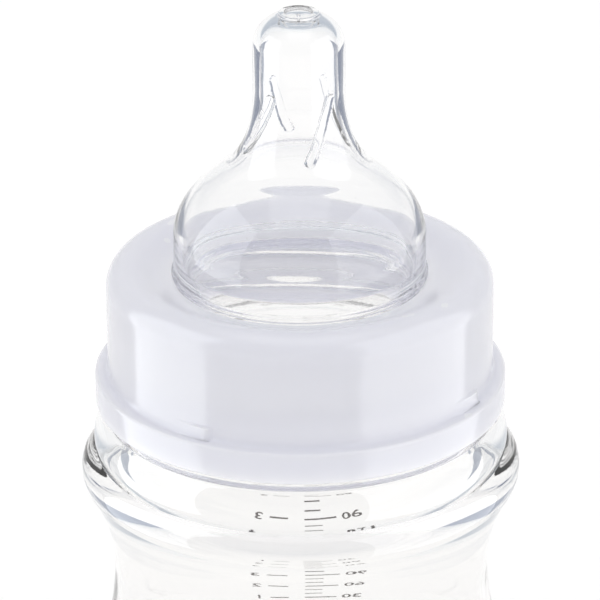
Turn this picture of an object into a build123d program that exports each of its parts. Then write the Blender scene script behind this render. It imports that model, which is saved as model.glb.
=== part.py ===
"""Wide-neck baby bottle: clear bottle with a printed scale, white screw collar, clear silicone teat.

Millimetres, +Z up, the origin on the table at the middle of the foot. The collar is screwed
home. A height is measured from the table. A rise or a drop is measured up or down from the
seat, which is the level of the collar's lower edge.
"""

import os
from math import atan2, cos, degrees, pi, radians, sin, sqrt

from build123d import *

os.makedirs("parts", exist_ok=True)

# Bottle body. From the neck down, each radius is stepped out or in from the one above it.
seat_height = 60.0
shoulder_step = 0.3
shoulder_drop = 2.3
bead_swell = 1.45
bead_drop = 5.5
crease_step = 0.3
crease_drop = 8.9
crease_round = 0.3
bulge_step = 2.6
bulge_drop = 12.3
bulge_roundness = 3.5
waist_depth = 5.15
waist_height = 29.0
belly_step = 3.3
belly_height = 10.0
belly_roundness = 12.0
foot_width = 1.5
push_up = 2.0
wall = 1.4
bulge_wall = 5.2
floor_thickness = 2.6

# Neck and its thread
neck_radius = 28.2
neck_wall = 2.0
rim_round = 0.6
neck_ring_drop = 0.7
neck_ring_width = 1.2
neck_ring_step = 4.8
neck_ring_round = 0.4
thread_lead = 6.0
thread_turns = 1.35
thread_depth = 1.75
thread_root = 2.6
thread_crest = 1.4
thread_sink = 0.5
thread_low_gap = 6.9
thread_top_gap = 3.2
thread_radial_gap = 0.35
thread_flank_gap = 0.2

# Screw collar
collar_wall = 1.95
collar_fillet = 3.6
collar_top = 2.1
dish_depth = 1.9
flange_projection = 2.15
flange_thickness = 5.55
flange_slope = 0.25
flange_round = 0.35
root_fillet = 1.0
mouth_relief = 0.9
mouth_depth = 3.4
opening_ledge = 5.3
opening_round = 0.6
tab_count = 4
tab_angle = 57.0
tab_span = 12.5
tab_thickness = 0.65
tab_height = 2.1

# Teat
teat_flange_thickness = 2.0
teat_wall = 1.25
teat_base_wall = 2.0
groove_gap = 0.25
groove_face_gap = 0.1
lip_width = 0.9
lip_thickness = 1.1
dome_overhang = 0.05
dome_side_height = 6.1
dome_height = 25.4
dome_fullness = 5.5
flare_slope = 55.0
flare_length = 3.5
nipple_radius = 7.6
nipple_length = 12.9
nipple_flare = 7.0
tip_roundness = 5.2
tip_wall = 1.7
tip_ring_radius = 3.3
tip_ring_height = 0.45
tip_dimple_radius = 2.3
tip_dimple_depth = 0.5
feed_hole_radius = 0.35
rib_count = 4
rib_radius = 0.62
rib_turn = 35.0
rib_first_angle = -43.0
vent_width = 2.0
vent_depth = 0.6
vent_hole_radius = 0.5
vent_cup_radius = 1.6
vent_cup_drop = 1.2

# Printed scale
print_gap = 0.01
print_thickness = 0.07
line_weight = 0.45
numeral_weight = 0.5
numeral_width = 1.5
numeral_height = 2.6
numeral_space = 1.1
ml_line_start = 0.6
ml_line_length = 5.4
ml_tick_length = 2.9
ml_numeral_start = 6.9
oz_line_start = 2.2
oz_line_length = 3.1
oz_numeral_start = 6.4
scale_margin = 5.0
ounce_ml = 29.57
numeral_ml = 30
tick_ml = 10
first_ml = 20

# Sizes that follow from the ones above
neck_rise = thread_low_gap + thread_lead * thread_turns + thread_top_gap
neck_bore = neck_radius - neck_wall
neck_ring_radius = neck_radius + neck_ring_step
shoulder_radius = neck_ring_radius + shoulder_step
bead_radius = shoulder_radius + bead_swell
crease_radius = bead_radius - crease_step
bulge_radius = crease_radius + bulge_step
bulge_height = seat_height - bulge_drop
waist_radius = bulge_radius - waist_depth
belly_radius = waist_radius + belly_step
opening_radius = neck_bore - opening_ledge
dome_radius = opening_radius + dome_overhang
collar_bore = neck_radius + thread_depth + thread_radial_gap
collar_radius = collar_bore + collar_wall
flange_radius = collar_radius + flange_projection
plate_rise = neck_rise + teat_flange_thickness
plate_top_rise = plate_rise + collar_top
collar_top_rise = plate_top_rise + dish_depth
groove_radius = opening_radius - groove_gap
lip_radius = opening_radius + lip_width
lip_low_rise = plate_top_rise + groove_face_gap
lip_top_rise = lip_low_rise + lip_thickness
dome_rise = lip_top_rise + dome_side_height
nipple_rise = dome_rise + dome_height
tip_rise = nipple_rise + nipple_length
teat_bore = groove_radius - teat_base_wall
teat_flange_radius = collar_bore - thread_depth - groove_gap
bulge_bore = bulge_radius - bulge_wall
floor_height = floor_thickness + push_up


def seat(radius, rise):
    """A point of a half section, from its radius and its rise above the seat."""
    return (radius, seat_height + rise)


def corner(section, point):
    """The vertex of a section in hand that lies at a point of it."""
    return section.vertices().sort_by_distance(Vector(*point))[0]


def thread_ridge(root_radius, depth, low_rise):
    """A right-hand ridge on a cylinder: out from it if depth is positive, else in."""
    flank = (thread_root - thread_crest) / 2 / abs(depth)
    half_crest = thread_crest / 2
    half_sunk = thread_root / 2 + flank * thread_sink
    sunk = -thread_sink if depth > 0 else thread_sink
    with BuildLine() as path:
        Helix(
            pitch=thread_lead,
            height=thread_lead * thread_turns,
            radius=root_radius,
            center=(0, 0, seat_height + low_rise),
        )
    with BuildPart() as ridge:
        with BuildSketch(Plane(origin=path.line @ 0, x_dir=(1, 0, 0), z_dir=path.line % 0)):
            with BuildLine():
                Polyline(
                    (sunk, -half_sunk),
                    (depth, -half_crest),
                    (depth, half_crest),
                    (sunk, half_sunk),
                    close=True,
                )
            make_face()
        sweep(path=path.line, is_frenet=True)
    return ridge.part


# ---------------------------------------------------------------- bottle

crease = seat(crease_radius, -crease_drop)
shoulder = seat(shoulder_radius, -shoulder_drop)
ring_low = -neck_ring_drop - neck_ring_width


def meeting_point(crest_radius, crest_height, roundness, extra):
    """Where the waist's hollow curve runs into a round crest, moved out from the wall by extra."""
    out = crest_radius - waist_radius
    centre_distance = (out**2 + (crest_height - waist_height) ** 2) / (2 * out)
    crest_centre = Vector(crest_radius - roundness, crest_height)
    hollow_centre = Vector(waist_radius + centre_distance - roundness, waist_height)
    way = (hollow_centre - crest_centre).normalized()
    point = crest_centre + way * (roundness + extra)
    return (point.X, point.Y)


def upper_wall(extra):
    """The wall from the bulge's crest to the waist, moved out by extra."""
    meeting = meeting_point(bulge_radius, bulge_height, bulge_roundness, extra)
    TangentArc((bulge_radius + extra, bulge_height), meeting, tangent=(0, -1))
    TangentArc((waist_radius + extra, waist_height), meeting, tangent=(0, 1))


def lower_wall(extra):
    """The wall from the waist to the belly's crest, moved out by extra."""
    meeting = meeting_point(belly_radius, belly_height, belly_roundness, extra)
    TangentArc((waist_radius + extra, waist_height), meeting, tangent=(0, -1))
    TangentArc((belly_radius + extra, belly_height), meeting, tangent=(0, 1))


def under_belly(inset, height):
    """Where the belly's round, moved in by inset, comes down to a height."""
    fall = belly_height - height
    return belly_radius - belly_roundness + sqrt((belly_roundness - inset) ** 2 - fall**2)


foot_outside = (under_belly(0, 0), 0)
foot_inside = (foot_outside[0] - foot_width, 0)
floor_edge = (under_belly(wall, floor_thickness), floor_thickness)

with BuildSketch(Plane.XZ) as body_section:
    with BuildLine():
        ThreePointArc(shoulder, seat(bead_radius, -bead_drop), crease)
        TangentArc((bulge_radius, bulge_height), crease, tangent=(0, 1))
        upper_wall(0)
        lower_wall(0)
        TangentArc((belly_radius, belly_height), foot_outside, tangent=(0, -1))
        Line(foot_outside, foot_inside)
        TangentArc((0, push_up), foot_inside, tangent=(1, 0))
        Polyline(
            (0, push_up),
            seat(0, neck_rise),
            seat(neck_radius, neck_rise),
            seat(neck_radius, -neck_ring_drop),
            seat(neck_ring_radius, -neck_ring_drop),
            seat(neck_ring_radius, ring_low),
            shoulder,
        )
    make_face()
    fillet(corner(body_section, crease), crease_round)
    fillet(corner(body_section, seat(neck_ring_radius, -neck_ring_drop)), neck_ring_round)

with BuildSketch(Plane.XZ) as cavity_section:
    half_way = (waist_height + bulge_height) / 2
    with BuildLine():
        Polyline(
            (0, floor_height),
            seat(0, neck_rise + 1),
            seat(neck_bore, neck_rise + 1),
            seat(neck_bore, ring_low),
        )
        TangentArc((bulge_bore, bulge_height), seat(neck_bore, ring_low), tangent=(0, 1))
        Bezier(
            (bulge_bore, bulge_height),
            (bulge_bore, half_way),
            (waist_radius - wall, half_way),
            (waist_radius - wall, waist_height),
        )
        lower_wall(-wall)
        TangentArc((belly_radius - wall, belly_height), floor_edge, tangent=(0, -1))
        TangentArc((0, floor_height), floor_edge, tangent=(1, 0))
    make_face()

bottle_ridge = thread_ridge(neck_radius, thread_depth, thread_low_gap)

with BuildPart() as bottle:
    revolve(profiles=body_section.sketch, axis=Axis.Z)
    revolve(profiles=cavity_section.sketch, axis=Axis.Z, mode=Mode.SUBTRACT)
    fillet(bottle.edges().group_by(Axis.Z)[-1], rim_round)
    add(bottle_ridge)
bottle.part.label = "bottle"

# ---------------------------------------------------------------- printed scale

# Each character is drawn as strokes on a grid one wide and two high.
strokes = {
    "0": [[(0, 0), (1, 0), (1, 2), (0, 2), (0, 0)]],
    "1": [[(0.2, 1.6), (0.6, 2), (0.6, 0)]],
    "2": [[(0, 2), (1, 2), (1, 1), (0, 1), (0, 0), (1, 0)]],
    "3": [[(0, 2), (1, 2), (1, 0), (0, 0)], [(0.3, 1), (1, 1)]],
    "4": [[(0, 2), (0, 1), (1, 1)], [(1, 2), (1, 0)]],
    "5": [[(1, 2), (0, 2), (0, 1), (1, 1), (1, 0), (0, 0)]],
    "6": [[(1, 2), (0, 2), (0, 0), (1, 0), (1, 1), (0, 1)]],
    "7": [[(0, 2), (1, 2), (1, 0)]],
    "8": [[(0, 0), (1, 0), (1, 2), (0, 2), (0, 0)], [(0, 1), (1, 1)]],
    "9": [[(0, 0), (1, 0), (1, 2), (0, 2), (0, 1), (1, 1)]],
}


def draw_words(words, left, middle):
    """Draws characters in the sketch in hand, reading to the right from left."""
    for place, letter in enumerate(words):
        start = left + place * (numeral_width + numeral_space)
        for stroke in strokes[letter]:
            points = [
                Vector(start + x * numeral_width, middle + (y / 2 - 0.5) * numeral_height)
                for x, y in stroke
            ]
            for tail, head in zip(points, points[1:]):
                run = head - tail
                slant = degrees(atan2(run.Y, run.X))
                with Locations((tail + head) / 2):
                    SlotCenterToCenter(run.length, numeral_weight, rotation=slant)


# One mark of the scale stands for this much height in the mean bore of the body.
mean_bore = (waist_radius + belly_radius) / 2 - wall
height_per_ml = 1000 / (pi * mean_bore**2)
scale_height = bulge_height - floor_height - scale_margin
scale_ml = numeral_ml * int(scale_height / height_per_ml / numeral_ml)


def mark_height(volume):
    return floor_height + volume * height_per_ml


# Drawn in the plane across the back, so that it reads from behind the bottle.
back_plane = Plane(origin=(0, 0, 0), x_dir=(-1, 0, 0), z_dir=(0, 1, 0))

with BuildSketch(back_plane) as print_sketch:
    for volume in range(first_ml, scale_ml + 1, tick_ml):
        length = ml_tick_length if volume % numeral_ml else ml_line_length
        with Locations((-ml_line_start - length / 2, mark_height(volume))):
            Rectangle(length, line_weight)
    for volume in range(numeral_ml, scale_ml + 1, numeral_ml):
        label = str(volume)
        width = len(label) * (numeral_width + numeral_space) - numeral_space
        draw_words(label, -ml_numeral_start - width, mark_height(volume))
    for ounce in range(1, int(scale_ml / ounce_ml) + 1):
        middle = mark_height(ounce * ounce_ml)
        with Locations((oz_line_start + oz_line_length / 2, middle)):
            Rectangle(oz_line_length, line_weight)
        draw_words(str(ounce), oz_numeral_start, middle)

with BuildPart() as ink_shell:
    with BuildSketch(Plane.XZ):
        inner_face = print_gap
        outer_face = print_gap + print_thickness
        with BuildLine():
            Line((bulge_radius + inner_face, bulge_height), (bulge_radius + outer_face, bulge_height))
            Line((belly_radius + inner_face, belly_height), (belly_radius + outer_face, belly_height))
            for face in (inner_face, outer_face):
                upper_wall(face)
                lower_wall(face)
        make_face()
    revolve(axis=Axis.Z)

with BuildPart() as printed_scale:
    extrude(to_extrude=print_sketch.sketch, amount=2 * bulge_radius)
    add(ink_shell.part, mode=Mode.INTERSECT)
printed_scale.part.label = "printed_scale"

# ---------------------------------------------------------------- screw collar

rim_radius = collar_radius - collar_fillet
opening_edge = seat(opening_radius, plate_top_rise)
dish_edge = seat(lip_radius + groove_gap, plate_top_rise)
collar_thread = (
    thread_low_gap
    - thread_flank_gap
    - thread_root
    + (thread_root - thread_crest) / 2 * (collar_bore - neck_radius) / thread_depth
)

with BuildSketch(Plane.XZ) as collar_section:
    with BuildLine():
        Polyline(seat(opening_radius, plate_rise), opening_edge, dish_edge)
        Spline(dish_edge, seat(rim_radius, collar_top_rise), tangents=[(1, 0), (1, 0)])
        Line(seat(rim_radius, collar_top_rise), seat(collar_radius, collar_top_rise))
        Polyline(
            seat(collar_radius, collar_top_rise),
            seat(collar_radius, flange_thickness),
            seat(flange_radius, flange_thickness - flange_slope),
            seat(flange_radius, 0),
            seat(collar_bore + mouth_relief, 0),
            seat(collar_bore + mouth_relief, mouth_depth - mouth_relief),
            seat(collar_bore, mouth_depth),
            seat(collar_bore, plate_rise),
            seat(opening_radius, plate_rise),
        )
    make_face()
    fillet(corner(collar_section, seat(collar_radius, collar_top_rise)), collar_fillet - 0.01)
    fillet(corner(collar_section, seat(collar_radius, flange_thickness)), root_fillet)
    fillet(
        corner(collar_section, seat(flange_radius, flange_thickness - flange_slope)),
        flange_round,
    )
    fillet(corner(collar_section, seat(flange_radius, 0)), flange_round)
    fillet(corner(collar_section, opening_edge), opening_round)

# A tab is a ramp round the collar, thin where the hood slides on and thick at its stop.
with BuildSketch(Plane.XY.offset(seat_height + flange_thickness - flange_slope)) as tab_outline:
    ramp_radii = [collar_radius, collar_radius + 0.7 * tab_thickness, collar_radius + tab_thickness]
    ramp_angles = [radians(tab_angle - 90 + tab_span * (share - 0.5)) for share in (0, 0.6, 1)]
    ramp = [(r * cos(a), r * sin(a)) for r, a in zip(ramp_radii, ramp_angles)]
    buried = collar_radius - collar_wall / 2
    with BuildLine():
        ThreePointArc(*ramp)
        Polyline(
            ramp[-1],
            (buried * cos(ramp_angles[-1]), buried * sin(ramp_angles[-1])),
            (buried * cos(ramp_angles[0]), buried * sin(ramp_angles[0])),
            ramp[0],
        )
    make_face()

with BuildPart() as tab:
    extrude(to_extrude=tab_outline.sketch, amount=tab_height + flange_slope)

collar_ridge = thread_ridge(collar_bore, -thread_depth, collar_thread)

with BuildPart() as collar:
    revolve(profiles=collar_section.sketch, axis=Axis.Z)
    with PolarLocations(0, tab_count):
        add(tab.part)
    add(collar_ridge)
collar.part.label = "collar"

# ---------------------------------------------------------------- teat


def lean(radius, rise, angle, inset):
    """A point of the teat's side, moved into the wall by inset. angle is its normal's tilt."""
    tilt = radians(angle)
    return seat(radius - inset * cos(tilt), rise - inset * sin(tilt))


def dome_side(inset):
    """The dome's shoulder and the flare up to the nipple, as two curves that meet smoothly."""
    flare_radius = nipple_radius + 0.375 * (dome_radius - nipple_radius)
    flare_rise = dome_rise + 0.472 * (nipple_rise - dome_rise)
    tilt = radians(flare_slope)
    run, fall = sin(tilt), cos(tilt)
    low = lean(dome_radius, dome_rise, 0, inset)
    middle = lean(flare_radius, flare_rise, flare_slope, inset)
    high = lean(nipple_radius, nipple_rise, 0, inset)
    with BuildLine() as side:
        Bezier(
            low,
            (low[0], low[1] + 0.8 * dome_fullness),
            (middle[0] + dome_fullness * run, middle[1] - dome_fullness * fall),
            middle,
        )
        Bezier(
            middle,
            (middle[0] - flare_length * run, middle[1] + flare_length * fall),
            (high[0], high[1] - nipple_flare),
            high,
        )
    return side.line


def tip(inset, top_rise):
    """The nipple's straight side, its round end and the flat top, from the flare to the axis."""
    roundness = tip_roundness - inset
    side_radius = nipple_radius - inset
    round_start = seat(side_radius, top_rise - roundness)
    round_end = seat(side_radius - roundness, top_rise)
    with BuildLine() as end:
        Line(seat(side_radius, nipple_rise), round_start)
        RadiusArc(round_start, round_end, -roundness)
        Line(round_end, seat(0, top_rise))
    return end.line


with BuildSketch(Plane.XZ) as teat_section:
    with BuildLine():
        Polyline(
            seat(0, neck_rise),
            seat(teat_flange_radius, neck_rise),
            seat(teat_flange_radius, plate_rise),
            seat(groove_radius, plate_rise),
            seat(groove_radius, lip_low_rise),
            seat(lip_radius, lip_low_rise),
            seat(lip_radius, lip_low_rise + lip_thickness / 2),
        )
        Line(seat(lip_radius, lip_low_rise + lip_thickness / 2), seat(dome_radius, lip_top_rise))
        Line(seat(dome_radius, lip_top_rise), seat(dome_radius, dome_rise))
        add(dome_side(0))
        add(tip(0, tip_rise))
        Line(seat(0, tip_rise), seat(0, neck_rise))
    make_face()

with BuildSketch(Plane.XZ) as hollow_section:
    with BuildLine():
        Polyline(
            seat(0, tip_rise - tip_wall),
            seat(0, neck_rise),
            seat(teat_bore, neck_rise),
            seat(teat_bore, plate_rise),
            seat(dome_radius - teat_wall, lip_top_rise + teat_base_wall),
            seat(dome_radius - teat_wall, dome_rise),
        )
        add(dome_side(teat_wall))
        add(tip(teat_wall, tip_rise - tip_wall))
    make_face()

flare = dome_side(teat_wall).edges().sort_by(Axis.Y)[-1]
rib_stations = []
for share in (0.45, 0.6, 0.8, 1.0):
    point = flare @ share
    turn = radians(rib_first_angle - 90 + rib_turn * (share - 1) / 0.55)
    rib_stations.append(Vector(point.X * cos(turn), point.X * sin(turn), point.Y))

with BuildPart() as rib:
    with BuildLine() as rib_path:
        Spline(*rib_stations)
    with BuildSketch(Plane(origin=rib_path.line @ 0, z_dir=rib_path.line % 0)):
        Circle(rib_radius)
    sweep(path=rib_path.line)
    with Locations(rib_stations[0], rib_stations[-1]):
        Sphere(rib_radius)

vent_place = (neck_bore + teat_bore) / 2
with BuildPart() as teat:
    revolve(profiles=teat_section.sketch, axis=Axis.Z)
    with Locations((0, 0, seat_height + tip_rise)):
        Cylinder(
            tip_ring_radius,
            tip_roundness / 2,
            align=(Align.CENTER, Align.CENTER, Align.MAX),
        )
        Cylinder(tip_ring_radius, tip_ring_height, align=(Align.CENTER, Align.CENTER, Align.MIN))
    with Locations((vent_place, 0, seat_height + neck_rise)):
        Cylinder(vent_cup_radius, vent_cup_drop, align=(Align.CENTER, Align.CENTER, Align.MAX))
    revolve(profiles=hollow_section.sketch, axis=Axis.Z, mode=Mode.SUBTRACT)
    with Locations((0, 0, seat_height + tip_rise + tip_ring_height)):
        Cylinder(
            tip_dimple_radius,
            tip_dimple_depth,
            align=(Align.CENTER, Align.CENTER, Align.MAX),
            mode=Mode.SUBTRACT,
        )
        Hole(feed_hole_radius, depth=3 * tip_wall)
    with Locations((vent_place, 0, seat_height + plate_rise)):
        Box(
            teat_flange_radius - vent_place + vent_width,
            vent_width,
            vent_depth,
            align=(Align.MIN, Align.CENTER, Align.MAX),
            mode=Mode.SUBTRACT,
        )
        Hole(vent_hole_radius, depth=2 * teat_flange_thickness + vent_cup_drop)
    with PolarLocations(0, rib_count):
        add(rib.part)
teat.part.label = "teat"

# ---------------------------------------------------------------- files

for piece in (bottle, printed_scale, collar, teat):
    export_step(piece.part, f"parts/{piece.part.label}.step")
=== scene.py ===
from math import asin, atan2, ceil, cos, degrees, hypot, pi, radians, sin, sqrt, tan

import bmesh
import bpy
import numpy as np
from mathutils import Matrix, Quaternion, Vector


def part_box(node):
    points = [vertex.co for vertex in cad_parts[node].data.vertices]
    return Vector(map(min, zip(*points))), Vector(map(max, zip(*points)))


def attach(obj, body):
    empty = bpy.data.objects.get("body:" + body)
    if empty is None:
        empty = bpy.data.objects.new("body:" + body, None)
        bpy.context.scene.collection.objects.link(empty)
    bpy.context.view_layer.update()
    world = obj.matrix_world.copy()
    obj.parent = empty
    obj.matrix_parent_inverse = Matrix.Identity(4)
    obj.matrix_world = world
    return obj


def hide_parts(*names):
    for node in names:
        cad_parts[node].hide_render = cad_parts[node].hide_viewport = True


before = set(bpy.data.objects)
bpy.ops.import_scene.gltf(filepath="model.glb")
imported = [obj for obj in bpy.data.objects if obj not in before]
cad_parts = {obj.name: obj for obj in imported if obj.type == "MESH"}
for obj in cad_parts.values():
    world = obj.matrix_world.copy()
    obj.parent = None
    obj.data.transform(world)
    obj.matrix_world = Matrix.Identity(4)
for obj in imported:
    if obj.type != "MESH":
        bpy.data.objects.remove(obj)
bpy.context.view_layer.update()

MM = 0.001

# ------------------------------------------------------------------ sizes, in millimetres
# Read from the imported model.
bottle_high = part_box("bottle")[1] / MM
collar_low, collar_high = (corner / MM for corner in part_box("collar"))
teat_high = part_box("teat")[1] / MM
seat_height = collar_low.z
neck_rise = bottle_high.z - seat_height
bulge_radius = bottle_high.x
flange_radius = collar_high.x
collar_rise = collar_high.z - seat_height
tip_rise = teat_high.z - seat_height

# The body's outline, as the CAD model has it.
belly_radius, belly_height, belly_roundness = 35.2, 10.0, 12.0
belly_centre = (belly_radius - belly_roundness, belly_height)
waist_radius, waist_height = 31.9, 29.0
bulge_height, bulge_roundness, bulge_wall = seat_height - 12.3, 3.5, 5.2
crease_radius, crease_height, crease_gap = 34.45, seat_height - 8.9, 4.0
bead_radius, bead_height = 34.75, seat_height - 5.5
shoulder_radius, shoulder_height = 33.3, seat_height - 2.3
ring_radius, ring_top, ring_low = 33.0, seat_height - 0.7, seat_height - 1.9
ring_edge, ring_root, rim_edge = 0.35, 0.3, 0.6
ring_tuck, ring_sink, ring_taper, ring_fillet = 0.45, 0.05, 0.1, 0.1
wall, floor_thickness, push_up, foot_width = 1.4, 2.6, 2.0, 1.5
neck_radius, neck_bore = 28.2, 26.2

# The thread, which is the same ridge on the neck and in the collar.
thread_lead, thread_turns, thread_depth = 6.0, 1.35, 1.75
thread_half_crest, thread_half_root, thread_shoulder = 0.7, 1.3, 0.1
thread_fade = 14.0
thread_from_rim, thread_clearance = 3.2, 2.08
neck_thread = neck_rise - thread_from_rim - thread_lead * thread_turns
collar_thread = neck_thread - thread_clearance
neck_row, collar_row = 0.11, 0.1
plain_neck = 1.5

# The collar. Rises are above its lower edge.
collar_bore = 30.3
collar_step = 2.15
collar_radius = flange_radius - collar_step
collar_edge, dish_ease = 3.6, 0.36
flange_rise, flange_slope_rise, above_flange_rise = 5.3, 5.55, 9.0
tab_rows_low, tab_rows_high, tab_row, plain_row = 6.6, 8.4, 0.15, 1.5
relief_depth, relief_low, relief_high, relief_round = 0.9, 2.5, 3.4, 0.4
foot_round, flange_low_round, flange_top_round, flange_root_round = 0.3, 0.45, 0.55, 1.0
seam_clearance, seam_width = 0.02, 0.05
dish_foot_gap, opening_top_round, opening_low_round, plate_root_round = 0.35, 0.6, 0.3, 0.5
thread_limit = 16
bore_rows_low, bore_split, bore_rows_high = 3.6, 8.0, 15.5
opening_radius = 20.9
plate_rise = neck_rise + 2.0
plate_top = plate_rise + 2.1
touch_gap = 0.02
flange_low, flange_top = neck_rise + touch_gap, plate_rise - touch_gap
tab_centre, tab_span, tab_thickness, tab_top = -33.0, 12.5, 0.65, 7.7
tab_low_limit, tab_high_limit, tab_reach = 5.4, 8.6, 0.6
tab_ramp, tab_blunting, tab_top_blunting = 0.8, 0.9, 0.3

# The teat.
clamp_radius, clamp_bore, clamp_round = 28.3, 22.0, 0.5
vent_radius, vent_reach, vent_depth, vent_blunting = 22.4, 1.6, 1.2, 0.35
channel_half, channel_depth, channel_blunting = 1.0, 0.6, 0.3
vent_rows, vent_row = 24.8, 0.2
groove_radius, lip_radius, lip_gap, lip_height = 20.65, 21.35, 0.1, 0.85
lip_fillet, lip_low_round, lip_top_round, dome_fillet = 0.25, 0.4, 0.35, 0.6
bore_top_round, bore_low_round = 1.5, 0.6
dome_radius, dome_rise, dome_fullness, dome_ease = 20.95, 29.6, 5.5, 0.8
dome_thickening, thickening_round = 3.2, 3.0
flare_slope, flare_length, nipple_flare = radians(55.0), 3.5, 7.0
flare_out, flare_up = 0.375, 0.472
nipple_radius, nipple_rise = 7.6, 55.0
tip_roundness, tip_wall, teat_wall, teat_base_wall = 5.2, 1.7, 1.25, 2.0
tip_turn, tip_drop = 78, 0.45
tip_top = tip_rise - tip_drop
ring_foot, ring_out, ring_in, ring_floor = 3.45, 3.3, 2.3, 2.2
ring_foot_sink, ring_round, ring_floor_round = 0.05, 0.25, 0.2
dimple_depth, hole_radius, hole_round, hole_inner_round = 0.5, 0.35, 0.1, 0.05
rib_radius, rib_turn, rib_first = 0.85, 35.0, -43.0 - 90.0
rib_from, rib_points, rib_height, rib_blunting = 0.45, 16, 0.62, 3
rib_rows_radius, rib_rows_low, rib_rows_high = 12.5, 42, 57.5
rib_row, rib_rows_margin = 0.12, 1.0
far_away = 9.0
same_place = 0.01

# How finely the turned pieces are divided.
bottle_sides, collar_sides, teat_sides = 240, 380, 272


# ------------------------------------------------------------------ outlines

def arc(centre, radius, start, end, steps):
    """Points of a circle from one angle to another, in degrees."""
    angles = np.radians(np.linspace(start, end, steps + 1))
    return [(centre[0] + radius * cos(a), centre[1] + radius * sin(a)) for a in angles]


def bezier(a, b, c, d, steps):
    """Points of a cubic curve from a to d."""
    points = []
    for share in np.linspace(0, 1, steps + 1):
        rest = 1 - share
        weights = (rest**3, 3 * rest * rest * share, 3 * rest * share * share, share**3)
        points.append(tuple(sum(w * p[i] for w, p in zip(weights, (a, b, c, d))) for i in (0, 1)))
    return points


def straight(a, b, step):
    """Points along a line about a step apart, both ends included."""
    run, rise = b[0] - a[0], b[1] - a[1]
    count = max(1, ceil(hypot(run, rise) / step))
    return [(a[0] + run * i / count, a[1] + rise * i / count) for i in range(count + 1)]


def rounded(corners, step=12.0):
    """An open outline through corners given as (radius, height, rounding)."""
    points = [corners[0][:2]]
    for before, here, after in zip(corners, corners[1:], corners[2:]):
        size = here[2]
        if not size:
            points.append(here[:2])
            continue
        point = Vector(here[:2])
        way_in = (point - Vector(before[:2])).normalized()
        way_out = (Vector(after[:2]) - point).normalized()
        turn = way_in.angle_signed(way_out)
        reach = size * tan(abs(turn) / 2)
        start = point - way_in * reach
        side = Vector((way_in.y, -way_in.x)) * (1 if turn > 0 else -1)
        centre = start + side * size
        count = max(2, ceil(degrees(abs(turn)) / step))
        spoke = start - centre
        for i in range(count + 1):
            spin = -turn * i / count
            points.append(
                (
                    centre.x + spoke.x * cos(spin) - spoke.y * sin(spin),
                    centre.y + spoke.x * sin(spin) + spoke.y * cos(spin),
                )
            )
    points.append(corners[-1][:2])
    return points


def swell(crest_radius, crest_height, roundness, extra, steps):
    """Points from a round crest to the waist, moved out from the wall by extra."""
    out = crest_radius - waist_radius
    rise = crest_height - waist_height
    distance = (out**2 + rise**2) / (2 * out)
    hollow = distance - roundness
    tilt = degrees(atan2(abs(rise), distance - out))
    up = 1 if rise > 0 else -1
    crest = arc((crest_radius - roundness, crest_height), roundness + extra, 0, -up * tilt, steps)
    waist = arc((waist_radius + hollow, waist_height), hollow - extra, 180 - up * tilt, 180, steps)
    return crest + waist[1:]


def thin_out(points, least=0.02):
    """The same outline without points that lie on each other."""
    kept = [points[0]]
    for point in points[1:]:
        if hypot(point[0] - kept[-1][0], point[1] - kept[-1][1]) > least:
            kept.append(point)
    return kept


# ------------------------------------------------------------------ meshes

sharp_angle = radians(50.0)


def turned(name, outline, sides, closed, warp=None):
    """A piece turned on the Z axis. A closed outline makes a ring, an open one ends on the axis."""
    outline = thin_out(outline)
    radii = np.array([p[0] for p in outline])
    heights = np.array([p[1] for p in outline])
    angles = np.linspace(0, 2 * pi, sides, endpoint=False)
    grid = np.empty((len(outline), sides, 3))
    grid[..., 0] = radii[:, None] * np.cos(angles)
    grid[..., 1] = radii[:, None] * np.sin(angles)
    grid[..., 2] = heights[:, None]
    if warp:
        warp(grid, radii, heights, angles)
    count = len(outline)
    if closed:
        points = grid.reshape(-1, 3)
        rows = range(count)
    else:
        points = np.vstack([grid[1:-1].reshape(-1, 3), [[0, 0, heights[0]], [0, 0, heights[-1]]]])
        rows = range(count - 3)
        count -= 2
    faces = []
    for row in rows:
        here, there = row * sides, (row + 1) % count * sides
        for i in range(sides):
            j = (i + 1) % sides
            faces.append((here + i, here + j, there + j, there + i))
    if not closed:
        first, last = len(points) - 2, len(points) - 1
        end = (count - 1) * sides
        for i in range(sides):
            j = (i + 1) % sides
            faces.append((first, j, i))
            faces.append((last, end + i, end + j))
    mesh = bpy.data.meshes.new(name)
    mesh.from_pydata((points * MM).tolist(), [], faces)
    mesh.validate()
    return finished(name, mesh)


def finished(name, mesh):
    """The mesh as a smooth-shaded object, with its normals outward."""
    shape = bmesh.new()
    shape.from_mesh(mesh)
    bmesh.ops.recalc_face_normals(shape, faces=shape.faces)
    shape.to_mesh(mesh)
    shape.free()
    mesh.shade_smooth()
    mesh.set_sharp_from_angle(angle=sharp_angle)
    return placed(name, mesh)


def placed(name, data):
    """A new object in the scene that shows the data."""
    made = bpy.data.objects.new(name, data)
    bpy.context.scene.collection.objects.link(made)
    return made


def smooth_step(low, high, value):
    """0 up to low, 1 from high on, and a smooth rise between."""
    share = np.clip((value - low) / (high - low), 0, 1)
    return share * share * (3 - 2 * share)


def ridge_height(angle, rise, start):
    """How far the thread stands out, from 0 to 1, at an angle in degrees and a rise above the seat."""
    height = np.zeros(np.broadcast(angle, rise).shape)
    whole = 360 * thread_turns
    for turn in range(int(thread_turns) + 1):
        travelled = angle + 360 * turn
        off = np.abs(rise - (start + thread_lead * travelled / 360))
        flank = 1 - smooth_step(thread_half_crest - thread_shoulder, thread_half_root, off)
        ends = smooth_step(0, thread_fade, travelled) * smooth_step(0, thread_fade, whole - travelled)
        height = np.maximum(height, flank * ends)
    return height


# ------------------------------------------------------------------ pieces

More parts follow.
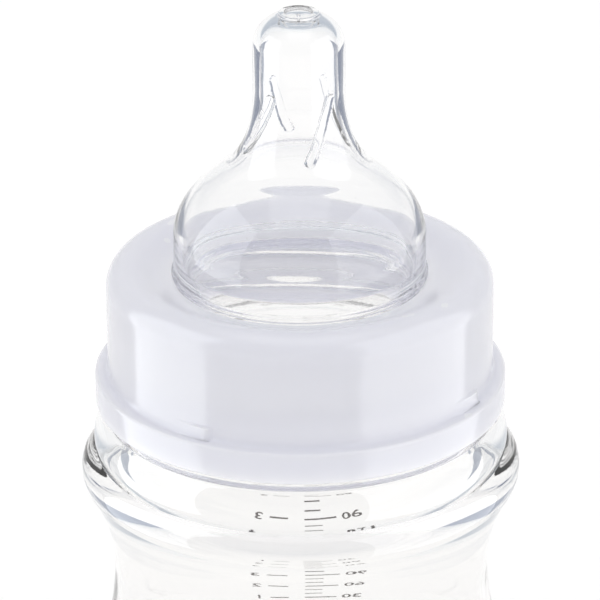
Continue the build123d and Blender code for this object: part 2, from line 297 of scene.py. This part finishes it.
def cap(edge_radius, edge_height, top_height, steps):
    """A shallow spherical floor from its edge to the axis."""
    rise = top_height - edge_height
    sphere = (edge_radius**2 + rise**2) / (2 * rise)
    half = degrees(asin(edge_radius / sphere))
    return arc((0, top_height - sphere), sphere, 90 - half, 90, steps)


def bottle_outside():
    """The body from the middle of the foot, up the outside, over the rim and down the neck's bore."""
    foot_fall = degrees(asin(belly_height / belly_roundness))
    foot = belly_centre[0] + belly_roundness * cos(radians(foot_fall)) - foot_width
    crest_centre = (bulge_radius - bulge_roundness, bulge_height)
    crease_turn = degrees(atan2(crease_height - bulge_height, crease_radius - crest_centre[0]))
    neck_foot, rim = ring_top + plain_neck, seat_height + neck_rise

    points = list(reversed(cap(foot, 0, push_up, 10)))
    points += [(foot + foot_width, 0)]
    points += arc(belly_centre, belly_roundness, -foot_fall, 0, 14)
    points += swell(belly_radius, belly_height, belly_roundness, 0, 16)
    points += list(reversed(swell(bulge_radius, bulge_height, bulge_roundness, 0, 20)))
    points += arc(crest_centre, bulge_roundness, 0, crease_turn - crease_gap, 16)
    points += bead_arc()
    points += rounded(
        [
            (shoulder_radius, shoulder_height, 0),
            (shoulder_radius - ring_tuck, ring_low - ring_sink, ring_fillet),
            (ring_radius - ring_taper, ring_low, ring_fillet),
            (ring_radius, ring_top, ring_edge),
            (neck_radius, ring_top, ring_root),
            (neck_radius, neck_foot, 0),
        ]
    )
    points += straight((neck_radius, neck_foot), (neck_radius, rim - plain_neck), neck_row)
    points += rounded(
        [
            (neck_radius, rim - plain_neck, 0),
            (neck_radius, rim, rim_edge),
            (neck_bore, rim, rim_edge),
            (neck_bore, seat_height, 0),
        ]
    )
    return points


def bottle_inside():
    """The body's inside from the shoulder down to the middle of the floor."""
    inner_roundness = belly_roundness - wall
    floor_fall = degrees(asin((belly_height - floor_thickness) / inner_roundness))
    edge = belly_centre[0] + inner_roundness * cos(radians(floor_fall))
    half_way = (waist_height + bulge_height) / 2
    bore = bulge_radius - bulge_wall
    points = shoulder_bore()
    points += bezier(
        (bore, bulge_height),
        (bore, half_way),
        (waist_radius - wall, half_way),
        (waist_radius - wall, waist_height),
        20,
    )
    points += list(reversed(swell(belly_radius, belly_height, belly_roundness, -wall, 16)))
    points += arc(belly_centre, inner_roundness, 0, -floor_fall, 12)
    points += cap(edge, floor_thickness, floor_thickness + push_up, 10)
    return points


def bead_arc():
    """The round of the bead, from the crease over its widest place to the shoulder."""
    crease, shoulder = (crease_radius, crease_height), (shoulder_radius, shoulder_height)
    return three_point(crease, (bead_radius, bead_height), shoulder, 18)


def three_point(a, b, c, steps):
    """Points of the circle through three points, from the first to the last."""
    twice = 2 * (a[0] * (b[1] - c[1]) + b[0] * (c[1] - a[1]) + c[0] * (a[1] - b[1]))
    squares = [p[0] ** 2 + p[1] ** 2 for p in (a, b, c)]
    x = (squares[0] * (b[1] - c[1]) + squares[1] * (c[1] - a[1]) + squares[2] * (a[1] - b[1])) / twice
    y = (squares[0] * (c[0] - b[0]) + squares[1] * (a[0] - c[0]) + squares[2] * (b[0] - a[0])) / twice
    start, end = (degrees(atan2(p[1] - y, p[0] - x)) for p in (a, c))
    return arc((x, y), hypot(a[0] - x, a[1] - y), start, end, steps)


def shoulder_bore():
    """The inside of the shoulder, from the neck's bore out to the bulge's bore."""
    top = (neck_bore, ring_low)
    bore = bulge_radius - bulge_wall
    out, rise = bore - top[0], top[1] - bulge_height
    radius = (out**2 + rise**2) / (2 * out)
    half = degrees(asin(rise / radius)) if rise < radius else 90
    return list(reversed(arc((bore - radius, bulge_height), radius, 0, half, 18)))


def neck_warp(grid, radii, heights, angles):
    """Raises the thread from the rows on the neck."""
    on_neck = np.abs(radii - neck_radius) < same_place
    ridge = ridge_height(np.degrees(angles)[None, :], (heights - seat_height)[:, None], neck_thread)
    push = np.where(on_neck[:, None], ridge * thread_depth, 0)
    grid[..., 0] += push * np.cos(angles)
    grid[..., 1] += push * np.sin(angles)


bottle_rows = bottle_outside() + bottle_inside()
bottle_body = turned("bottle_body", bottle_rows, bottle_sides, closed=False, warp=neck_warp)


def collar_skirt():
    """The collar's lower end: the bore's relief, the flange and the foot of the wall."""
    seat = seat_height
    relief = collar_bore + relief_depth
    foot = collar_radius + seam_clearance
    return rounded(
        [
            (collar_bore, seat + bore_split, 0),
            (collar_bore, seat + relief_high, relief_round),
            (relief, seat + relief_low, relief_round),
            (relief, seat, foot_round),
            (flange_radius, seat, flange_low_round),
            (flange_radius, seat + flange_rise, flange_top_round),
            (foot, seat + flange_slope_rise, flange_root_round),
            (foot, seat + above_flange_rise, 0),
        ]
    )


def collar_outline():
    """The collar from the bore, down, up the outside, and in over the dished plate."""
    rim = collar_radius - collar_edge
    seat = seat_height
    shoulder = seat + collar_rise - collar_edge
    tab_foot, tab_head = seat + tab_rows_low, seat + tab_rows_high
    points = [p for p in collar_skirt() if abs(p[0] - collar_radius) >= seam_width or p[1] <= tab_foot]
    points += straight((collar_radius, tab_foot), (collar_radius, tab_head), tab_row)
    points += straight((collar_radius, tab_head), (collar_radius, shoulder), plain_row)[1:]
    points += arc((rim, shoulder), collar_edge, 0, 90, 20)[1:]
    dish_start = (lip_radius + dish_foot_gap, seat + plate_top)
    run = rim - dish_start[0]
    dish = bezier(
        (rim, seat + collar_rise),
        (rim - dish_ease * run, seat + collar_rise),
        (dish_start[0] + dish_ease * run, seat + plate_top),
        dish_start,
        28,
    )
    points += dish[1:]
    bore_top, bore_middle = seat + bore_rows_high, seat + bore_split
    bore_low = seat + bore_rows_low
    points += rounded(
        [
            dish_start + (0,),
            (opening_radius, seat + plate_top, opening_top_round),
            (opening_radius, seat + plate_rise, opening_low_round),
            (collar_bore, seat + plate_rise, plate_root_round),
            (collar_bore, bore_top, 0),
        ]
    )[1:]
    points += straight((collar_bore, bore_top), (collar_bore, bore_middle), collar_row)[1:]
    lower = straight((collar_bore, bore_middle), (collar_bore, bore_low), collar_row)
    off_bore = collar_bore + same_place
    return lower[:-1] + [p for p in points if p[1] < bore_low or p[0] > off_bore or p[1] > bore_middle]


def collar_warp(grid, radii, heights, angles):
    """Raises the inner thread, and the four ramped tabs over the flange."""
    turned_to = np.degrees(angles)[None, :]
    rises = (heights - seat_height)[:, None]
    inside = (np.abs(radii - collar_bore) < same_place)[:, None] & (rises < thread_limit)
    push = np.where(inside, -thread_depth * ridge_height(turned_to, rises, collar_thread), 0)
    outside = (np.abs(radii - collar_radius) < tab_reach)[:, None]
    outside = outside & (rises > tab_low_limit) & (rises < tab_high_limit)
    for quarter in range(4):
        off = (turned_to - (tab_centre + 90 * quarter) + 180) % 360 - 180
        ramp = np.clip((off + tab_span / 2) / tab_span, 0, 1) ** tab_ramp
        blunt = smooth_step(0, tab_blunting, tab_span / 2 - off)
        top = smooth_step(0, tab_top_blunting, tab_top - rises)
        push = push + np.where(outside & (off > -tab_span / 2), tab_thickness * ramp * blunt * top, 0)
    grid[..., 0] += push * np.cos(angles)
    grid[..., 1] += push * np.sin(angles)


screw_collar = turned("screw_collar", collar_outline(), collar_sides, closed=True, warp=collar_warp)


def dome_side(inset):
    """The dome's shoulder and the flare, moved into the wall by inset: two curves."""
    flare_radius = nipple_radius + flare_out * (dome_radius - nipple_radius)
    flare_height = seat_height + dome_rise + flare_up * (nipple_rise - dome_rise)
    run, fall = sin(flare_slope), cos(flare_slope)
    low = (dome_radius - inset, seat_height + dome_rise)
    middle = (flare_radius - inset * fall, flare_height - inset * run)
    high = (nipple_radius - inset, seat_height + nipple_rise)
    shoulder = bezier(
        low,
        (low[0], low[1] + dome_ease * dome_fullness),
        (middle[0] + dome_fullness * run, middle[1] - dome_fullness * fall),
        middle,
        30,
    )
    flare = bezier(
        middle,
        (middle[0] - flare_length * run, middle[1] + flare_length * fall),
        (high[0], high[1] - nipple_flare),
        high,
        90,
    )
    return shoulder, flare


def teat_outside():
    """The teat's outside, from its clamped flange up to the feed hole's inner end."""
    seat = seat_height
    lip_low = seat + plate_top + lip_gap
    tip_height = seat + tip_top
    ring_top_height = seat + tip_rise
    dimple = ring_top_height - dimple_depth
    round_height = tip_height - tip_roundness
    shoulder, flare = dome_side(0)
    points = rounded(
        [
            (vent_rows, seat + flange_low, 0),
            (clamp_radius, seat + flange_low, clamp_round),
            (clamp_radius, seat + flange_top, clamp_round),
            (groove_radius, seat + flange_top, lip_fillet),
            (groove_radius, lip_low, lip_fillet),
            (lip_radius, lip_low, lip_low_round),
            (lip_radius, lip_low + lip_height, lip_top_round),
            (dome_radius, lip_low + lip_height + lip_fillet, dome_fillet),
            (dome_radius, seat + dome_rise, 0),
        ]
    )
    points += shoulder[1:] + flare[1::3]
    points += straight((nipple_radius, seat + nipple_rise), (nipple_radius, round_height), 1.0)[1:]
    points += arc((nipple_radius - tip_roundness, round_height), tip_roundness, 0, tip_turn, 20)[1:]
    points += rounded(
        [
            (ring_foot, tip_height - ring_foot_sink, 0),
            (ring_out, ring_top_height, ring_round),
            (ring_in, ring_top_height, ring_round),
            (ring_floor, dimple, ring_floor_round),
            (hole_radius, dimple, hole_round),
            (hole_radius, tip_height - tip_wall, hole_inner_round),
        ]
    )
    return points


def teat_inside():
    """The teat's inside, from the feed hole down to the flange's lower face."""
    seat = seat_height
    inner_round = tip_roundness - teat_wall
    round_height = seat + tip_top - tip_wall - inner_round
    side, bore = nipple_radius - teat_wall, groove_radius - teat_base_wall
    fine_from = seat + nipple_rise + rib_rows_margin
    dome_bore = dome_radius - teat_wall
    thickening = seat + plate_top + lip_gap + dome_thickening
    tip = arc((nipple_radius - tip_roundness, round_height), inner_round, 0, 90, 20)
    points = list(reversed(tip))
    points += straight((side, round_height), (side, fine_from), 1.0)[1:]
    points += straight((side, fine_from), (side, seat + nipple_rise), rib_row)[1:]
    shoulder, flare = dome_side(teat_wall)
    points += list(reversed(flare))[1:] + list(reversed(shoulder))[1:]
    points += rounded(
        [
            (dome_bore, seat + dome_rise, 0),
            (dome_bore, thickening, thickening_round),
            (bore, seat + plate_rise, bore_top_round),
            (bore, seat + flange_low, bore_low_round),
            (clamp_bore, seat + flange_low, 0),
        ]
    )[1:]
    under = straight((clamp_bore, seat + flange_low), (vent_rows, seat + flange_low), vent_row)
    return points + under[1:-1]


def rib_line():
    """The middle of the first rib on the inner wall of the flare, from the bottom up."""
    flare = dome_side(teat_wall)[1]
    line = []
    for share in np.linspace(rib_from, 1, rib_points):
        radius, height = flare[round(share * (len(flare) - 1))]
        turn = radians(rib_first + rib_turn * (share - 1) / (1 - rib_from))
        line.append((radius * cos(turn), radius * sin(turn), height))
    return np.array(line)


def teat_warp(grid, radii, heights, angles):
    """Raises the four ribs inside the flare, and sinks the air vent into the flange."""
    rises = heights - seat_height
    raise_ribs(grid, radii, rises, angles)
    sink_vent(grid, rises)


def raise_ribs(grid, radii, rises, angles):
    after_hole = np.arange(len(radii)) > int(np.argmin(radii))
    on_flare = (radii < rib_rows_radius) & (rises > rib_rows_low) & (rises < rib_rows_high)
    rows = np.where(on_flare & after_hole)[0]
    line = rib_line()
    points = grid[rows]
    best = np.full(points.shape[:2], far_away)
    for quarter in range(4):
        across, up = cos(quarter * pi / 2), sin(quarter * pi / 2)
        spun = line @ np.array([[across, up, 0], [-up, across, 0], [0, 0, 1]])
        for a, b in zip(spun, spun[1:]):
            along = b - a
            share = np.clip(((points - a) @ along) / (along @ along), 0, 1)
            best = np.minimum(best, np.linalg.norm(points - a - share[..., None] * along, axis=-1))
    stand = rib_height * np.sqrt(np.clip(1 - (best / rib_radius) ** rib_blunting, 0, 1))
    grid[rows, :, 0] -= stand * np.cos(angles)
    grid[rows, :, 1] -= stand * np.sin(angles)


def sink_vent(grid, rises):
    """A cup under the flange and a channel to it on top."""
    away = np.hypot(grid[..., 0] - vent_radius, grid[..., 1])
    under = (np.abs(rises - flange_low) < same_place)[:, None]
    cup = vent_depth * smooth_step(0, vent_blunting, vent_reach - away)
    grid[..., 2] -= np.where(under, cup, 0)
    top = (np.abs(rises - flange_top) < same_place)[:, None]
    top = top & (grid[..., 0] > vent_radius - channel_half)
    channel = channel_depth * smooth_step(0, channel_blunting, channel_half - np.abs(grid[..., 1]))
    grid[..., 2] -= np.where(top, channel, 0)


teat_rows = teat_outside() + teat_inside()
silicone_teat = turned("silicone_teat", teat_rows, teat_sides, closed=True, warp=teat_warp)


# ------------------------------------------------------------------ printed scale

def wall_radius(height):
    """The body's outer radius between the belly and the bulge."""
    bulge = (bulge_radius, bulge_height, bulge_roundness)
    belly = (belly_radius, belly_height, belly_roundness)
    crest_radius, crest_height, roundness = bulge if height > waist_height else belly
    out, rise = crest_radius - waist_radius, crest_height - waist_height
    distance = (out**2 + rise**2) / (2 * out)
    hollow = distance - roundness
    meeting = crest_height - rise * roundness / distance
    if (height - meeting) * rise < 0:
        return waist_radius + hollow - sqrt(hollow**2 - (height - waist_height) ** 2)
    return crest_radius - roundness + sqrt(roundness**2 - (height - crest_height) ** 2)


floor_height = floor_thickness + push_up
mean_bore = (waist_radius + belly_radius) / 2 - wall
height_per_ml = 1000 / (pi * mean_bore**2)
ink_gap, ink_thickness = 0.03, 0.05
ml_per_ounce, ounces = 29.57, range(1, 5)
first_ml, last_ml, ml_step, bold_every = 20, 120, 10, 30
ml_edge, bold_length, fine_length, bold_weight, fine_weight = -0.6, 5.4, 2.9, 0.6, 0.45
ounce_left, ounce_right = 2.2, 5.3
numeral_size, unit_size, unit_gap, print_weight = 3.6, 2.6, 5.0, 0.05
ml_column, ounce_column, ounce_unit_column = -6.9, 6.4, 5.6
longest_edge = 0.7
bar_step = 0.6


def mark_height(volume):
    return floor_height + volume * height_per_ml


def laid_on_wall(name, flat):
    """Wraps flat marks, drawn in millimetres as seen from behind, round the rear wall."""
    shape = bmesh.new()
    shape.from_mesh(flat)
    bmesh.ops.remove_doubles(shape, verts=shape.verts, dist=0.001)
    for _ in range(2):
        long_edges = [e for e in shape.edges if e.calc_length() > longest_edge]
        bmesh.ops.subdivide_edges(shape, edges=long_edges, cuts=1)
    bmesh.ops.triangulate(shape, faces=shape.faces)
    made = bmesh.ops.extrude_face_region(shape, geom=shape.faces[:])
    raised = {v for v in made["geom"] if isinstance(v, bmesh.types.BMVert)}
    for vert in shape.verts:
        height = vert.co.y
        radius = wall_radius(height) + ink_gap + (ink_thickness if vert in raised else 0)
        turn = vert.co.x / wall_radius(height)
        vert.co = Vector((-radius * sin(turn), radius * cos(turn), height)) * MM
    bmesh.ops.recalc_face_normals(shape, faces=shape.faces)
    mesh = bpy.data.meshes.new(name)
    shape.to_mesh(mesh)
    shape.free()
    return placed(name, mesh)


def bar(points, faces, left, right, middle, weight):
    """Adds one flat mark, in short lengths so that it can bend round the wall."""
    start = len(points)
    steps = max(1, ceil((right - left) / bar_step))
    for i in range(steps + 1):
        x = left + (right - left) * i / steps
        points += [(x, middle - weight / 2, 0), (x, middle + weight / 2, 0)]
    for i in range(steps):
        corner = start + 2 * i
        faces.append((corner, corner + 2, corner + 3, corner + 1))


def scale_lines():
    points, faces = [], []
    for volume in range(first_ml, last_ml + 1, ml_step):
        bold = volume % bold_every == 0
        length, weight = (bold_length, bold_weight) if bold else (fine_length, fine_weight)
        bar(points, faces, ml_edge - length, ml_edge, mark_height(volume), weight)
    for ounce in ounces:
        bar(points, faces, ounce_left, ounce_right, mark_height(ml_per_ounce * ounce), bold_weight)
    mesh = bpy.data.meshes.new("scale_lines_flat")
    mesh.from_pydata(points, [], faces)
    return laid_on_wall("scale_lines", mesh)


def scale_numerals():
    """The numbers beside the marks, and the units over them."""
    whole = bmesh.new()
    labels = []
    for volume in range(bold_every, last_ml + 1, bold_every):
        labels.append((str(volume), "RIGHT", ml_column, mark_height(volume), numeral_size))
    for ounce in ounces:
        labels.append((str(ounce), "LEFT", ounce_column, mark_height(ml_per_ounce * ounce), numeral_size))
    over = mark_height(last_ml) + unit_gap
    labels.append(("ml", "RIGHT", ml_column, over, unit_size))
    labels.append(("oz", "LEFT", ounce_unit_column, over, unit_size))
    for words, side, across, middle, size in labels:
        curve = bpy.data.curves.new("label", "FONT")
        curve.body = words
        curve.align_x = side
        curve.align_y = "CENTER"
        curve.size = size
        curve.offset = print_weight
        curve.resolution_u = 4
        holder = placed("label", curve)
        bpy.context.view_layer.update()
        drawn = holder.evaluated_get(bpy.context.evaluated_depsgraph_get())
        flat = bpy.data.meshes.new_from_object(drawn)
        for vert in flat.vertices:
            vert.co.x += across
            vert.co.y += middle
        whole.from_mesh(flat)
        bpy.data.objects.remove(holder)
        bpy.data.curves.remove(curve)
        bpy.data.meshes.remove(flat)
    mesh = bpy.data.meshes.new("scale_numerals_flat")
    whole.to_mesh(mesh)
    whole.free()
    return laid_on_wall("scale_numerals", mesh)


ink_lines = scale_lines()
ink_numerals = scale_numerals()


# ------------------------------------------------------------------ materials

def new_material(name):
    """A material with a Principled shader on its output."""
    material = bpy.data.materials.new(name)
    material.use_nodes = True
    tree = material.node_tree
    tree.nodes.clear()
    output = tree.nodes.new("ShaderNodeOutputMaterial")
    shader = tree.nodes.new("ShaderNodeBsdfPrincipled")
    tree.links.new(shader.outputs["BSDF"], output.inputs["Surface"])
    return material, tree, shader, output


def node(tree, kind, **values):
    """A node with the named inputs or settings given."""
    made = tree.nodes.new(kind)
    for name, value in values.items():
        if name in made.inputs:
            made.inputs[name].default_value = value
        else:
            setattr(made, name, value)
    return made


def noise(tree, coordinates, scale, detail):
    made = node(tree, "ShaderNodeTexNoise", Scale=scale, Detail=detail, Roughness=0.55)
    tree.links.new(coordinates.outputs["Object"], made.inputs["Vector"])
    return made


def mapped(tree, source, **ends):
    """A map of a value from one range to another, each end 0 or 1 unless given."""
    made = node(tree, "ShaderNodeMapRange")
    for end, value in ends.items():
        made.inputs[end.replace("_", " ").title()].default_value = value
    tree.links.new(source, made.inputs["Value"])
    return made.outputs["Result"]


def ranged(tree, source, low, high):
    """A map from a texture's 0 to 1 to a low and a high value."""
    return mapped(tree, source, to_min=low, to_max=high)


def coloured(tree, socket, colour):
    """Gives a socket a colour, or links it to a node's output."""
    if isinstance(colour, tuple):
        socket.default_value = colour
    else:
        tree.links.new(colour, socket)


def mixed(tree, factor, first, second):
    """A colour between two, each a colour or a node's output."""
    made = node(tree, "ShaderNodeMix", data_type="RGBA")
    coloured(tree, made.inputs["A"], first)
    coloured(tree, made.inputs["B"], second)
    tree.links.new(factor, made.inputs["Factor"])
    return made.outputs["Result"]


def bumped(tree, shader, layers):
    """Bump nodes one after another, each a texture with its strength and depth in metres."""
    last = None
    for height, power, depth in layers:
        bump = node(tree, "ShaderNodeBump", Strength=power, Distance=depth)
        tree.links.new(height, bump.inputs["Height"])
        if last:
            tree.links.new(last, bump.inputs["Normal"])
        last = bump.outputs["Normal"]
    tree.links.new(last, shader.inputs["Normal"])


def edges(tree):
    """1 along outer edges, where handling rubs the plastic, and 0 elsewhere."""
    shape = tree.nodes.new("ShaderNodeNewGeometry")
    return mapped(tree, shape.outputs["Pointiness"], from_min=0.51, from_max=0.56)


def streaks(tree, coordinates, scale):
    """Faint upright flow lines, as blow moulding leaves."""
    squeezed = node(tree, "ShaderNodeMapping")
    squeezed.inputs["Scale"].default_value = (1, 1, 0.06)
    tree.links.new(coordinates.outputs["Object"], squeezed.inputs["Vector"])
    made = node(tree, "ShaderNodeTexNoise", Scale=scale, Detail=2.0)
    tree.links.new(squeezed.outputs["Vector"], made.inputs["Vector"])
    return made.outputs["Fac"]


def specks(tree, coordinates, scale, size):
    """Tiny scattered dots, 1 at a dot and 0 between."""
    cells = node(tree, "ShaderNodeTexVoronoi", Scale=scale)
    tree.links.new(coordinates.outputs["Object"], cells.inputs["Vector"])
    return mapped(tree, cells.outputs["Distance"], from_max=size, to_min=1.0, to_max=0.0)


def let_lamps_through(tree, shader, output, colour):
    """Clear plastic casts next to no shadow, and lets soft light into the bottle."""
    path = tree.nodes.new("ShaderNodeLightPath")
    either = node(tree, "ShaderNodeMath", operation="MAXIMUM")
    clear = node(tree, "ShaderNodeBsdfTransparent", Color=colour)
    mix = tree.nodes.new("ShaderNodeMixShader")
    tree.links.new(path.outputs["Is Shadow Ray"], either.inputs[0])
    tree.links.new(path.outputs["Is Diffuse Ray"], either.inputs[1])
    tree.links.new(either.outputs["Value"], mix.inputs["Fac"])
    tree.links.new(shader.outputs["BSDF"], mix.inputs[1])
    tree.links.new(clear.outputs["BSDF"], mix.inputs[2])
    tree.links.new(mix.outputs["Shader"], output.inputs["Surface"])


def clear_bottle():
    """Clear plastic with slight flow waves and upright streaks."""
    material, tree, shader, output = new_material("clear_bottle_plastic")
    shader.inputs["Base Color"].default_value = (0.968, 0.964, 0.957, 1)
    shader.inputs["Transmission Weight"].default_value = 1.0
    shader.inputs["IOR"].default_value = 1.49
    place = tree.nodes.new("ShaderNodeTexCoord")
    flow = noise(tree, place, 45.0, 2.0)
    grain = noise(tree, place, 900.0, 2.0)
    tree.links.new(ranged(tree, grain.outputs["Fac"], 0.0, 0.05), shader.inputs["Roughness"])
    layers = [
        (flow.outputs["Fac"], 0.12, 0.001),
        (streaks(tree, place, 160.0), 0.04, 0.0005),
        (grain.outputs["Fac"], 0.01, 0.0001),
    ]
    bumped(tree, shader, layers)
    let_lamps_through(tree, shader, output, (0.985, 0.985, 0.99, 1))
    return material


def clear_silicone():
    """Clear silicone, a little duller than the plastic, with specks of dust on it."""
    material, tree, shader, output = new_material("clear_silicone")
    shader.inputs["Base Color"].default_value = (0.985, 0.985, 0.985, 1)
    shader.inputs["Transmission Weight"].default_value = 1.0
    shader.inputs["IOR"].default_value = 1.41
    place = tree.nodes.new("ShaderNodeTexCoord")
    flow = noise(tree, place, 60.0, 2.0)
    grain = noise(tree, place, 1400.0, 2.0)
    tree.links.new(ranged(tree, grain.outputs["Fac"], 0.01, 0.08), shader.inputs["Roughness"])
    layers = [
        (flow.outputs["Fac"], 0.1, 0.001),
        (grain.outputs["Fac"], 0.02, 0.0001),
        (specks(tree, place, 420.0, 0.045), 0.3, 0.0001),
    ]
    bumped(tree, shader, layers)
    let_lamps_through(tree, shader, output, (0.985, 0.985, 0.985, 1))
    return material


def collar_plastic():
    """Blue-white plastic that lets some light in, a little paler where its edges are rubbed."""
    material, tree, shader, _ = new_material("white_collar_plastic")
    place = tree.nodes.new("ShaderNodeTexCoord")
    cloud = noise(tree, place, 30.0, 2.0)
    grain = noise(tree, place, 1800.0, 2.0)
    colour = mixed(tree, cloud.outputs["Fac"], (0.705, 0.71, 0.775, 1), (0.72, 0.725, 0.79, 1))
    worn = mixed(tree, edges(tree), colour, (0.76, 0.77, 0.81, 1))
    tree.links.new(worn, shader.inputs["Base Color"])
    shader.inputs["IOR"].default_value = 1.5
    shader.inputs["Subsurface Weight"].default_value = 1.0
    shader.inputs["Subsurface Radius"].default_value = (1.0, 1.0, 1.0)
    shader.inputs["Subsurface Scale"].default_value = 0.008
    tree.links.new(ranged(tree, grain.outputs["Fac"], 0.1, 0.2), shader.inputs["Roughness"])
    bumped(tree, shader, [(cloud.outputs["Fac"], 0.05, 0.001), (grain.outputs["Fac"], 0.02, 0.0001)])
    return material


def scale_ink():
    """Brown-black ink, uneven as pad printing is."""
    material, tree, shader, _ = new_material("scale_ink")
    place = tree.nodes.new("ShaderNodeTexCoord")
    patch = noise(tree, place, 700.0, 3.0)
    colour = mixed(tree, patch.outputs["Fac"], (0.05, 0.035, 0.025, 1), (0.1, 0.075, 0.055, 1))
    tree.links.new(colour, shader.inputs["Base Color"])
    tree.links.new(ranged(tree, patch.outputs["Fac"], 0.4, 0.65), shader.inputs["Roughness"])
    bumped(tree, shader, [(patch.outputs["Fac"], 0.2, 0.0001)])
    return material


bottle_body.data.materials.append(clear_bottle())
silicone_teat.data.materials.append(clear_silicone())
screw_collar.data.materials.append(collar_plastic())
ink = scale_ink()
for piece in (ink_lines, ink_numerals):
    piece.data.materials.append(ink)

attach(bottle_body, "bottle")
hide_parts("bottle")
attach(screw_collar, "collar")
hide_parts("collar")
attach(silicone_teat, "teat")
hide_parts("teat")
for piece in (ink_lines, ink_numerals):
    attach(piece, "bottle")
    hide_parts("printed_scale")


# ------------------------------------------------------------------ floor, light and camera

def flat_sheet(name, left, right, near, far, height):
    """One level rectangle on the stage."""
    mesh = bpy.data.meshes.new(name)
    corners = [(x, y, height) for x in (left, right) for y in (near, far)]
    mesh.from_pydata(corners, [], [(0, 1, 3, 2)])
    return placed(name, mesh)


def studio_floor():
    """A pale floor that glows a little, as a light table does."""
    reach = 3.0
    floor = flat_sheet("floor", reach, -reach, -reach, reach, 0)
    material, _, shader, _ = new_material("floor_white")
    shader.inputs["Base Color"].default_value = (0.5, 0.5, 0.5, 1)
    shader.inputs["Roughness"].default_value = 0.6
    shader.inputs["Specular IOR Level"].default_value = 0.2
    shader.inputs["Emission Color"].default_value = (1, 0.995, 0.99, 1)
    shader.inputs["Emission Strength"].default_value = 0.56
    floor.data.materials.append(material)


def card(name, side, near, far, colour):
    """A blue-grey card on the floor beside the bottle. It only shows in clear edges."""
    inner, outer, above_floor = 0.1, 0.34, 0.001
    made = flat_sheet(name, side * inner, side * outer, near, far, above_floor)
    material, _, shader, _ = new_material(name)
    shader.inputs["Base Color"].default_value = (0, 0, 0, 1)
    shader.inputs["Specular IOR Level"].default_value = 0.0
    shader.inputs["Emission Color"].default_value = colour
    shader.inputs["Emission Strength"].default_value = 1.0
    made.data.materials.append(material)
    made.visible_camera = made.visible_diffuse = made.visible_shadow = made.visible_glossy = False


def panel(name, azimuth, reach, height, width, tall, radiance):
    """A soft light panel standing round the bottle, given by how bright its face is.

    Azimuth 0 is the camera's side, and 90 is the right. A panel with no reach faces down."""
    turn = radians(azimuth)
    place = Vector((reach * sin(turn), -reach * cos(turn), height))
    target = Vector((0, 0, height if reach else 0))
    data = bpy.data.lights.new(name, "AREA")
    data.shape = "RECTANGLE"
    data.size, data.size_y = width, tall
    data.energy = radiance * pi * width * tall
    lamp = placed(name, data)
    lamp.location = place
    lamp.rotation_euler = (target - place).to_track_quat("-Z", "Y").to_euler()
    lamp.visible_camera = False
    return lamp


def gloss_panel(name, azimuth, reach, width, radiance, colour):
    """A tall panel close by that only shows as a reflection with sharp sides."""
    lamp = panel(name, azimuth, reach, 0.1, width, 0.2, radiance)
    lamp.data.color = colour
    lamp.visible_diffuse = lamp.visible_transmission = False


def dim_overhead(tree):
    """A room colour that is white round the horizon and a dim blue higher up."""
    place = tree.nodes.new("ShaderNodeTexCoord")
    direction = tree.nodes.new("ShaderNodeSeparateXYZ")
    tree.links.new(place.outputs["Generated"], direction.inputs["Vector"])
    height = mapped(tree, direction.outputs["Z"], from_min=0.12, from_max=0.2)
    return mixed(tree, height, (0.98, 0.99, 1.0, 1), (0.5, 0.55, 0.62, 1))


def studio_room():
    """A white room that looks dimmer through the clear parts, which draws their edges."""
    world = bpy.data.worlds.new("studio")
    world.use_nodes = True
    tree = world.node_tree
    path = tree.nodes.new("ShaderNodeLightPath")
    shown = tree.nodes["Background"].outputs["Background"]
    tree.nodes["Background"].inputs["Color"].default_value = (1, 1, 1, 1)
    tree.nodes["Background"].inputs["Strength"].default_value = 0.8
    seen_by_ray = {"Is Transmission Ray": dim_overhead(tree), "Is Camera Ray": (1.1, 1.1, 1.1, 1)}
    for ray, colour in seen_by_ray.items():
        other = tree.nodes.new("ShaderNodeBackground")
        coloured(tree, other.inputs["Color"], colour)
        mix = tree.nodes.new("ShaderNodeMixShader")
        tree.links.new(path.outputs[ray], mix.inputs["Fac"])
        tree.links.new(shown, mix.inputs[1])
        tree.links.new(other.outputs["Background"], mix.inputs[2])
        shown = mix.outputs["Shader"]
    tree.links.new(shown, tree.nodes["World Output"].inputs["Surface"])
    bpy.context.scene.world = world


studio_floor()
panel("top_light", 0, 0, 1.1, 0.8, 0.8, 0.8)
gloss_panel("left_gloss", -75, 0.1, 0.096, 2.5, (0.94, 0.98, 1.0))
gloss_panel("right_gloss", 65.5, 0.09, 0.125, 1.9, (0.97, 0.98, 1.0))
for side, place in ((-1, "left"), (1, "right")):
    card(f"{place}_card", side, -0.16, 0.15, (0.38, 0.42, 0.51, 1))
    card(f"{place}_rear_card", side, 0.2, 0.55, (0.22, 0.25, 0.33, 1))
studio_room()

target_rise = 17.3
target = Vector((0, 0, seat_height + target_rise)) * MM
elevation, distance, roll = radians(24.0), 0.700, radians(-0.28)
camera_data = bpy.data.cameras.new("camera")
camera_data.lens = 252.0
camera_data.sensor_width = 36.0
camera = placed("camera", camera_data)
back = Vector((0, -cos(elevation), sin(elevation)))
camera.location = target + back * distance
camera.rotation_mode = "QUATERNION"
camera.rotation_quaternion = (-back).to_track_quat("-Z", "Y") @ Quaternion((0, 0, 1), roll)

scene = bpy.context.scene
scene.camera = camera
scene.view_settings.view_transform = "Standard"
scene.view_settings.look = "None"
scene.cycles.max_bounces = 24
scene.cycles.transmission_bounces = 24
scene.cycles.transparent_max_bounces = 24
scene.cycles.glossy_bounces = 12
scene.cycles.caustics_reflective = False
scene.cycles.caustics_refractive = False
